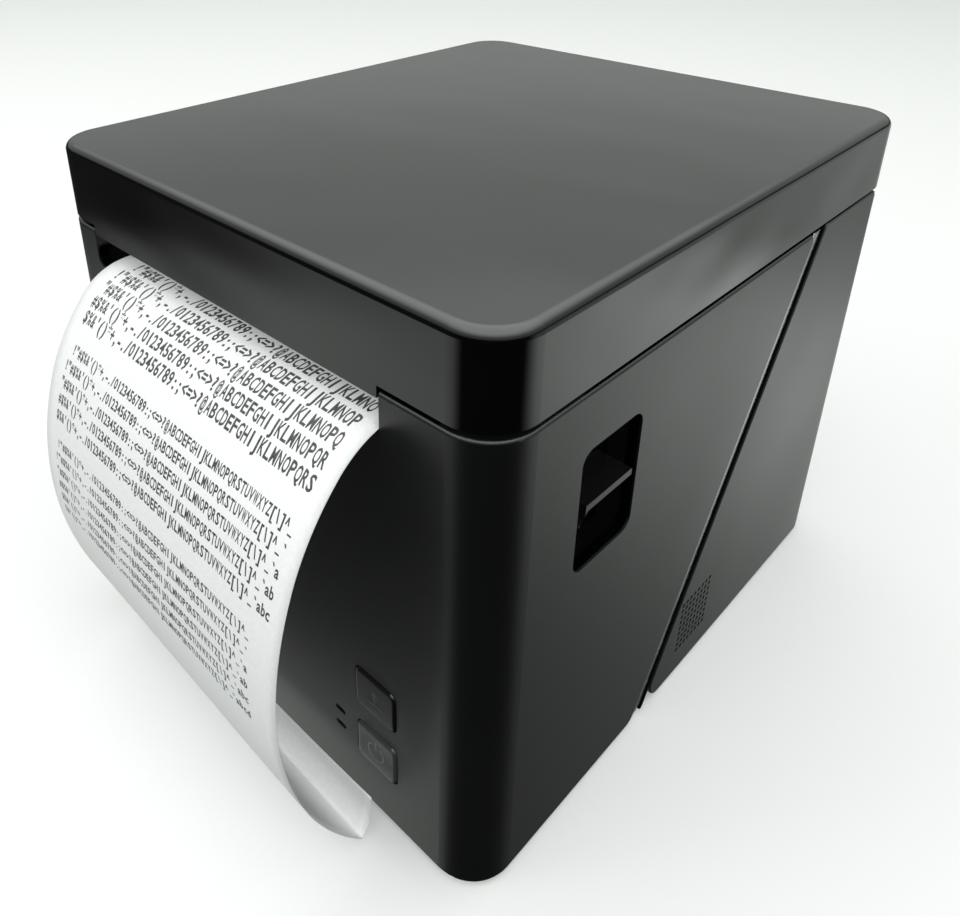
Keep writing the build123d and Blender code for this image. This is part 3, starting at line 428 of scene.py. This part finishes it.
def repeat_swept(tree, given, result, path, profile):
    """Sweeps the profile along the path, repeats it in a row and gives it the material."""
    sweep = tree.nodes.new("GeometryNodeCurveToMesh")
    sweep.inputs["Fill Caps"].default_value = True
    tree.links.new(path, sweep.inputs["Curve"])
    tree.links.new(profile, sweep.inputs["Profile Curve"])
    turn = tree.nodes.new("GeometryNodeTransform")
    tree.links.new(sweep.outputs["Mesh"], turn.inputs["Geometry"])
    tree.links.new(given.outputs["Turned"], turn.inputs["Rotation"])
    row = tree.nodes.new("GeometryNodeMeshLine")
    tree.links.new(given.outputs["Count"], row.inputs["Count"])
    tree.links.new(given.outputs["Start"], row.inputs["Start Location"])
    tree.links.new(given.outputs["Step"], row.inputs["Offset"])
    repeat = tree.nodes.new("GeometryNodeInstanceOnPoints")
    tree.links.new(row.outputs["Mesh"], repeat.inputs["Points"])
    tree.links.new(turn.outputs["Geometry"], repeat.inputs["Instance"])
    realize = tree.nodes.new("GeometryNodeRealizeInstances")
    tree.links.new(repeat.outputs["Instances"], realize.inputs["Geometry"])
    smooth = tree.nodes.new("GeometryNodeSetShadeSmooth")
    tree.links.new(realize.outputs["Geometry"], smooth.inputs["Geometry"])
    coat = tree.nodes.new("GeometryNodeSetMaterial")
    tree.links.new(smooth.outputs["Geometry"], coat.inputs["Geometry"])
    tree.links.new(given.outputs["Material"], coat.inputs["Material"])
    tree.links.new(coat.outputs["Geometry"], result.inputs["Geometry"])


def node_piece(name, tree, values, body):
    """Runs a geometry tree and keeps the result as a plain mesh riding a body."""
    made = new_object(name, bpy.data.meshes.new(name))
    maker = made.modifiers.new("maker", "NODES")
    maker.node_group = tree
    for item in tree.interface.items_tree:
        if item.in_out == "INPUT":
            maker[item.identifier] = values[item.name]
    bpy.context.view_layer.update()
    evaluated = made.evaluated_get(bpy.context.evaluated_depsgraph_get())
    plain = bpy.data.meshes.new_from_object(evaluated)
    made.modifiers.remove(maker)
    made.data = plain
    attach(made, body)
    return made


ROW_INPUTS = (("Turned", "NodeSocketVector"), ("Count", "NodeSocketInt"),
              ("Start", "NodeSocketVector"), ("Step", "NodeSocketVector"))
coil_tree, given, result = geometry_tree("wound_coil", (
    ("Turns", "NodeSocketFloat"), ("Radius", "NodeSocketFloat"), ("Height", "NodeSocketFloat"),
    ("Wire", "NodeSocketFloat"), *ROW_INPUTS))
spiral = coil_tree.nodes.new("GeometryNodeCurveSpiral")
spiral.inputs["Resolution"].default_value = 28
coil_tree.links.new(given.outputs["Turns"], spiral.inputs["Rotations"])
coil_tree.links.new(given.outputs["Radius"], spiral.inputs["Start Radius"])
coil_tree.links.new(given.outputs["Radius"], spiral.inputs["End Radius"])
coil_tree.links.new(given.outputs["Height"], spiral.inputs["Height"])
wire_section = coil_tree.nodes.new("GeometryNodeCurvePrimitiveCircle")
wire_section.inputs["Resolution"].default_value = 12
coil_tree.links.new(given.outputs["Wire"], wire_section.inputs["Radius"])
repeat_swept(coil_tree, given, result, spiral.outputs["Curve"], wire_section.outputs["Curve"])

HEAD_INSET = 0.35 * MM            # from a sleeve's faces to the middle of the wire
spring_low, spring_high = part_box("head_springs")
sleeve_r = (spring_high.y - spring_low.y) / 2
spring_y = (spring_low.y + spring_high.y) / 2
head_coils = node_piece("head_coils", coil_tree, {
    "Turns": 4.5, "Radius": sleeve_r - HEAD_INSET, "Wire": 0.3 * MM,
    "Height": spring_high.z - spring_low.z - 2 * HEAD_INSET,
    "Turned": (0.0, 0.0, 0.0), "Count": 2,
    "Start": (spring_low.x + sleeve_r, spring_y, spring_low.z + HEAD_INSET),
    "Step": (spring_high.x - spring_low.x - 2 * sleeve_r, 0.0, 0.0), "Material": wire}, "lid")
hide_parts("head_springs")

LATCH_COIL_START = Vector((43.3, -34.0, 75.0)) * MM
latch_coil = node_piece("latch_coil", coil_tree, {
    "Turns": 6.0, "Radius": 2.85 * MM, "Height": 4.4 * MM, "Wire": 0.35 * MM,
    "Turned": (0.0, radians(90), 0.0), "Count": 1,
    "Start": tuple(LATCH_COIL_START), "Step": (0.0, 0.0, 0.0), "Material": wire}, "case")
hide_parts("latch_spring")

# ---------------------------------------------------------------------------------
# Socket contacts. Thin gold-flashed springs: eight in the network socket, six in the
# cash drawer socket, and two on each side of the USB tongue.
contact_tree, given, result = geometry_tree("bent_contacts", (
    ("From", "NodeSocketVector"), ("Over", "NodeSocketVector"), ("To", "NodeSocketVector"), *ROW_INPUTS))
bend = contact_tree.nodes.new("GeometryNodeCurveQuadraticBezier")
bend.inputs["Resolution"].default_value = 10
contact_tree.links.new(given.outputs["From"], bend.inputs["Start"])
contact_tree.links.new(given.outputs["Over"], bend.inputs["Middle"])
contact_tree.links.new(given.outputs["To"], bend.inputs["End"])
contact_section = contact_tree.nodes.new("GeometryNodeCurvePrimitiveCircle")
contact_section.inputs["Resolution"].default_value = 8
contact_section.inputs["Radius"].default_value = 0.22 * MM
repeat_swept(contact_tree, given, result, bend.outputs["Curve"], contact_section.outputs["Curve"])
PITCH = 1.02
USB_PITCH = 2.5
# socket, number, middle x and pitch, then y and z of the start, bend and end, all in mm
CONTACTS = (
    ("lan", 8, 9.0, PITCH, (61.4, 25.0), (65.0, 24.6), (67.8, 27.6)),
    ("drawer", 6, 33.0, PITCH, (61.4, 24.6), (65.0, 24.2), (67.6, 27.1)),
    ("usb_upper", 2, -13.0, USB_PITCH, (61.0, 25.75), (64.5, 25.8), (68.2, 25.7)),
    ("usb_lower", 2, -13.0, USB_PITCH, (61.0, 22.25), (64.5, 22.2), (68.2, 22.3)),
)
for socket_name, number, middle_x, pitch, *bent in CONTACTS:
    spots = [(0.0, y * MM, z * MM) for y, z in bent]
    start_x = (middle_x - pitch * (number - 1) / 2) * MM
    contacts = node_piece(socket_name + "_contacts", contact_tree, {
        "From": spots[0], "Over": spots[1], "To": spots[2], "Turned": (0.0, 0.0, 0.0), "Count": number,
        "Start": (start_x, 0.0, 0.0), "Step": (pitch * MM, 0.0, 0.0), "Material": gold}, "case")

# ---------------------------------------------------------------------------------
# Small plastic, rubber and electronic parts. Ground rubber feet and platen, nylon
# sockets and switches, solder-masked boards, a glazed ceramic print head, dark light
# pipes, and the two glossy keys.
rubber = moulded("ground_rubber", (0.02, 0.02, 0.02), 0.75, 1800, 0.00004)
paint(rubber, "feet", "platen_roller")
nylon = moulded("socket_nylon", (0.012, 0.012, 0.012), 0.45)
paint(nylon, "drawer_socket", "power_socket", "button_switches", "board_chips")
board_green = moulded("solder_mask", (0.01, 0.09, 0.035), 0.3, 400, 0.00001)
paint(board_green, "main_board", "button_board")
ceramic = moulded("glazed_ceramic", (0.55, 0.54, 0.5), 0.15, 300, 0.000002)
paint(ceramic, "print_head")
pipe_grey = moulded("light_pipe", (0.02, 0.021, 0.022), 0.2, 900, 0.000005)
paint(pipe_grey, "light_pipes")
key_black = moulded("key_black", (0.006, 0.0065, 0.006), 0.2)
paint(key_black, "feed_button")
key_grey = moulded("key_grey", (0.048, 0.05, 0.048), 0.24)
paint(key_grey, "power_button")

# ---------------------------------------------------------------------------------
# Key marks. Pad-printed in dull grey: an open ring with a bar on the power key, and a
# sheet edge with an arrow on the feed key.
KEY_FACE = -70.4 * MM
KEY_X = 35.4
MARK_SUNK, MARK_PROUD = 0.05 * MM, 0.03 * MM
RING_STEPS = 28


def ring_part(radius, thickness, start, end):
    """The outline of part of a ring, in mm."""
    turns = [radians(start + (end - start) * k / RING_STEPS) for k in range(RING_STEPS + 1)]
    outer = [((radius + thickness / 2) * cos(t), (radius + thickness / 2) * sin(t)) for t in turns]
    inner = [((radius - thickness / 2) * cos(t), (radius - thickness / 2) * sin(t)) for t in turns]
    return outer + inner[::-1]


def mark_ink(name, dark, pale):
    """Dull pad-printed ink, a little uneven."""
    made, tree, shader = blank(name)
    vary(tree, object_noise(tree, 3000, 2), shader.inputs["Base Color"], dark, pale)
    shader.inputs["Roughness"].default_value = 0.5
    return made


def key_mark(name, outlines, middle_z, body, material):
    """Thin raised marks on a key's face, from outlines round its middle in mm."""
    shape = bmesh.new()
    for outline in outlines:
        sunk, raised = ([shape.verts.new(((KEY_X + x) * MM, y, (middle_z + z) * MM)) for x, z in outline]
                        for y in (KEY_FACE + MARK_SUNK, KEY_FACE - MARK_PROUD))
        shape.faces.new(sunk[::-1])
        shape.faces.new(raised)
        for k in range(len(outline)):
            n = (k + 1) % len(outline)
            shape.faces.new((sunk[k], sunk[n], raised[n], raised[k]))
    shaped_piece(name, shape, material, body)


power_bar = [(-0.17, 0.9), (0.17, 0.9), (0.17, 2.7), (-0.17, 2.7)]
power_ring = ring_part(2.0, 0.35, 125, 415)
key_mark("power_mark", (power_ring, power_bar), 17.8, "power_key", mark_ink("mark_grey", 0.15, 0.2))
sheet_edge = [(-2.2, -1.5), (2.2, -1.5), (2.2, -1.15), (-2.2, -1.15)]
arrow = [(-0.2, -0.7), (0.2, -0.7), (0.2, 0.9), (0.9, 0.9), (0.0, 2.0), (-0.9, 0.9), (-0.2, 0.9)]
key_mark("feed_mark", (sheet_edge, arrow), 32.0, "feed_key", mark_ink("mark_dark", 0.06, 0.08))

# ---------------------------------------------------------------------------------
# Paper roll and its core. Thermal paper wound on a grey card tube: rings show on
# the ends, fine lines on the outside.
wound, tree, shader = blank("wound_paper")
place = tree.nodes.new("ShaderNodeTexCoord")
centre_it = tree.nodes.new("ShaderNodeMapping")
roll_low, roll_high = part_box("paper_roll")
roll_middle = (roll_low + roll_high) / 2
roll_radius = (roll_high.z - roll_low.z) / 2
centre_it.inputs["Location"].default_value = -roll_middle
rings = tree.nodes.new("ShaderNodeTexWave")
rings.wave_type = "RINGS"
rings.rings_direction = "X"
rings.inputs["Scale"].default_value = 900
rings.inputs["Distortion"].default_value = 0.6
tree.links.new(place.outputs["Object"], centre_it.inputs["Vector"])
tree.links.new(centre_it.outputs["Vector"], rings.inputs["Vector"])
vary(tree, rings, shader.inputs["Base Color"], (0.8, 0.8, 0.78), (0.88, 0.88, 0.86))
grain(tree, shader, rings, 0.00003)
shader.inputs["Roughness"].default_value = 0.6
paint(wound, "paper_roll")
card = moulded("core_card", (0.42, 0.33, 0.24), 0.85, 700, 0.00006)
paint(card, "roll_core")

# ---------------------------------------------------------------------------------
# Receipt. One strip of thermal paper from the roll, level through the nip and the
# mouth, then curling down and back under itself to a short turned-up tail. The
# curl is a chain of arcs: radius in mm and degrees turned.
strip_low, strip_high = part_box("paper_strip")
CLIMB, CLIMB_R = radians(12), 20 * MM
LEVEL_END = -65.8 * MM
CURL = ((17.0, 44.5), (44.5, 23.5), (66.5, 31.5), (74.5, 28.6), (0.6, 104.0), (9.0, 36.0))
TAIL = 3.4 * MM
PAPER = 0.12 * MM
LEFT_PULL = 0.09          # the left side curls in this much more than the right
LEFT_SHORT = 0.40         # the torn end runs askew: the left of the flap is this much shorter
level_z = strip_high.z - 0.15 * MM
start_r = roll_radius + 0.45 * MM
CLIMB_PIECES, ARC_PIECES = 6, 14
PULL_OVER = 15 * MM       # the left side's extra curl comes in over this length
WAVE, WAVE_OVER = 0.25 * MM, 40 * MM
line = []                 # (y, z, heading in radians from -Y downwards, distance past the mouth)


def mesh_piece(name, points, faces, material):
    """An open mesh as an object at the origin."""
    mesh = bpy.data.meshes.new(name)
    mesh.from_pydata([tuple(p) for p in points], [], [tuple(f) for f in faces])
    mesh.materials.append(material)
    return new_object(name, mesh)


def add_arc(y, z, heading, travelled, radius, turn, pieces):
    """Walks along an arc and returns where it ends."""
    for _ in range(pieces):
        step = turn / pieces
        chord = 2 * radius * sin(step / 2)
        heading += step / 2
        y -= chord * cos(heading)
        z -= chord * sin(heading)
        heading += step / 2
        travelled += radius * step
        line.append((y, z, heading, travelled))
    return y, z, heading, travelled


start = (roll_middle.y + start_r * sin(CLIMB), roll_middle.z + start_r * cos(CLIMB))
rise = level_z - CLIMB_R * (1 - cos(CLIMB)) - start[1]
climb_run = rise / sin(CLIMB)
bend_y = start[0] - climb_run * cos(CLIMB) - CLIMB_R * sin(CLIMB)
before = climb_run + CLIMB_R * CLIMB + bend_y - LEVEL_END
line.append((start[0], start[1], -CLIMB, -before))
y, z, heading, travelled = start[0] - climb_run * cos(CLIMB), start[1] + rise, -CLIMB, climb_run - before
line.append((y, z, heading, travelled))
y, z, heading, travelled = add_arc(y, z, heading, travelled, CLIMB_R, CLIMB, CLIMB_PIECES)
y, travelled = LEVEL_END, 0.0
line.append((y, z, heading, travelled))
for radius, turn in CURL:
    y, z, heading, travelled = add_arc(y, z, heading, travelled, radius * MM, radians(turn), ARC_PIECES)
flap_start = line[-1 - ARC_PIECES][3]
line.append((y - TAIL * cos(heading), z - TAIL * sin(heading), heading, travelled + TAIL))
line_at = np.array(line)
paper_end = line_at[-1, 3]


def on_paper(x, along, proud=0.0):
    """Points on the outer face of the strip, at x across it and a distance past the mouth."""
    across_share = np.clip((x - strip_low.x) / (strip_high.x - strip_low.x), 0, 1)
    torn = 1 - LEFT_SHORT * (1 - across_share)
    along = np.where(along > flap_start, flap_start + (along - flap_start) * torn, along)
    y, z, heading = (np.interp(along, line_at[:, 3], line_at[:, k]) for k in range(3))
    y = y - proud * np.sin(heading)
    z = z + proud * np.cos(heading)
    pull = LEFT_PULL * (1 - across_share) * np.clip(along / PULL_OVER, 0, 1)
    wave = WAVE * np.sin(x * 55) * np.sin(along * 45) * np.clip(along / WAVE_OVER, 0, 1)
    out = y < LEVEL_END
    y = np.where(out, LEVEL_END + (y - LEVEL_END) * (1 - pull) + wave, y)
    return np.stack([x, y, z], -1)


thermal_paper, tree, shader = blank("thermal_paper")
fibre = object_noise(tree, 1400, 4)
vary(tree, fibre, shader.inputs["Base Color"], (0.84, 0.85, 0.85), (0.9, 0.91, 0.905))
grain(tree, shader, fibre, 0.00001)
shader.inputs["Roughness"].default_value = 0.5
shader.inputs["Specular IOR Level"].default_value = 0.3

# the cutter has just cut it: a 1 mm kerf with a narrow bridge left in the middle
KERF = (-5.6 * MM, -4.6 * MM)
BRIDGE = (-2.6 * MM, -1.0 * MM)
across = np.unique(np.concatenate([np.linspace(strip_low.x, strip_high.x, 33), BRIDGE]))
columns = len(across)
dense = [np.linspace(a, b, 5)[:-1] for a, b in zip(line_at[:-1, 3], line_at[1:, 3])]
rows_at = np.unique(np.concatenate([*dense, [paper_end], KERF]))
grid = np.concatenate([on_paper(across, np.full(columns, s)) for s in rows_at])
sheet_faces = []
for row in range(len(rows_at) - 1):
    in_kerf = KERF[0] < (rows_at[row] + rows_at[row + 1]) / 2 < KERF[1]
    for column in range(columns - 1):
        on_bridge = BRIDGE[0] < (across[column] + across[column + 1]) / 2 < BRIDGE[1]
        if in_kerf and not on_bridge:
            continue
        corner = row * columns + column
        sheet_faces.append((corner, corner + columns, corner + columns + 1, corner + 1))
receipt = mesh_piece("receipt", grid, sheet_faces, thermal_paper)
thicken = receipt.modifiers.new("thickness", "SOLIDIFY")
thicken.thickness = PAPER
thicken.offset = 0
for polygon in receipt.data.polygons:
    polygon.use_smooth = True
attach(receipt, "case")
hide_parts("paper_strip")

# ---------------------------------------------------------------------------------
# Print. Thermal test rows of running keyboard characters, each row one character on
# from the last: five rows of 48, five of 64, then six small rows of 64.
PRINT_LEFT = strip_low.x + 4.2 * MM
# rows, characters, cell width and height, row pitch, and first row past the mouth, in mm
CELLS = ((5, 48, 1.5, 3.0, 3.75, 0.9), (5, 64, 1.125, 2.3, 3.55, 23.0), (6, 64, 1.06, 1.9, 3.35, 43.4))
FIRST_CHARACTER, LAST_CHARACTER = 32, 126
STROKE = 0.022            # thickens the letters, in letter heights
BEND_LINES = (0.0, 0.12, 0.24, 0.36, 0.48, 0.6)
LETTER_WIDE, LETTER_TALL = 0.86, 1.25   # a letter's share of its cell's width and height
MOST_WIDE = 1.1           # the most that a narrow letter is stretched, in cell heights
BASELINE = 0.05
INK_PROUD, INK_HALF = 0.012 * MM, 0.008 * MM


def glyph(character):
    """A flat letter as points and triangles, one unit high."""
    curve = bpy.data.curves.new("letter", "FONT")
    curve.body = character
    curve.resolution_u = 2
    curve.extrude = 0.01
    curve.offset = STROKE
    letter = new_object("letter", curve)
    bpy.context.view_layer.update()
    mesh = bpy.data.meshes.new_from_object(letter.evaluated_get(bpy.context.evaluated_depsgraph_get()))
    shape = bmesh.new()
    shape.from_mesh(mesh)
    bmesh.ops.remove_doubles(shape, verts=shape.verts, dist=1e-5)
    for height in BEND_LINES:
        everything = shape.verts[:] + shape.edges[:] + shape.faces[:]
        bmesh.ops.bisect_plane(shape, geom=everything, plane_co=(0, height, 0), plane_no=(0, 1, 0))
    bmesh.ops.triangulate(shape, faces=shape.faces)
    points = np.array([v.co for v in shape.verts]).reshape(-1, 3)
    faces = [[v.index for v in f.verts] for f in shape.faces]
    shape.free()
    bpy.data.objects.remove(letter)
    bpy.data.curves.remove(curve)
    bpy.data.meshes.remove(mesh)
    return points, faces


letters = {code: glyph(chr(code)) for code in range(FIRST_CHARACTER, LAST_CHARACTER + 1)}
character_span = LAST_CHARACTER - FIRST_CHARACTER + 1
ink_points, ink_faces, ink_count = [], [], 0
for rows, row_length, cell_w, cell_h, pitch, first in CELLS:
    for row in range(rows):
        base = (first + row * pitch) * MM
        for column in range(row_length):
            points, faces = letters[FIRST_CHARACTER + (row + column) % character_span]
            if len(points) == 0:
                continue
            letter_low, letter_high = points[:, 0].min(), points[:, 0].max()
            wide = max(letter_high - letter_low, 1e-6)
            fit = min(cell_w * LETTER_WIDE / wide, cell_h * MOST_WIDE) * MM
            from_middle = points[:, 0] - (letter_low + letter_high) / 2
            x = PRINT_LEFT + (column + 0.5) * cell_w * MM + from_middle * fit
            along = base + cell_h * MM / 2 - (points[:, 1] - BASELINE) * cell_h * LETTER_TALL * MM
            proud = PAPER / 2 + INK_PROUD + np.sign(points[:, 2]) * INK_HALF
            ink_points.append(on_paper(x, along, proud))
            ink_faces += [[v + ink_count for v in f] for f in faces]
            ink_count += len(points)
ink, tree, shader = blank("thermal_ink")
vary(tree, object_noise(tree, 2500, 2), shader.inputs["Base Color"], (0.02, 0.02, 0.022), (0.09, 0.09, 0.095))
shader.inputs["Roughness"].default_value = 0.6
receipt_print = mesh_piece("receipt_print", np.concatenate(ink_points), ink_faces, ink)
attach(receipt_print, "case")
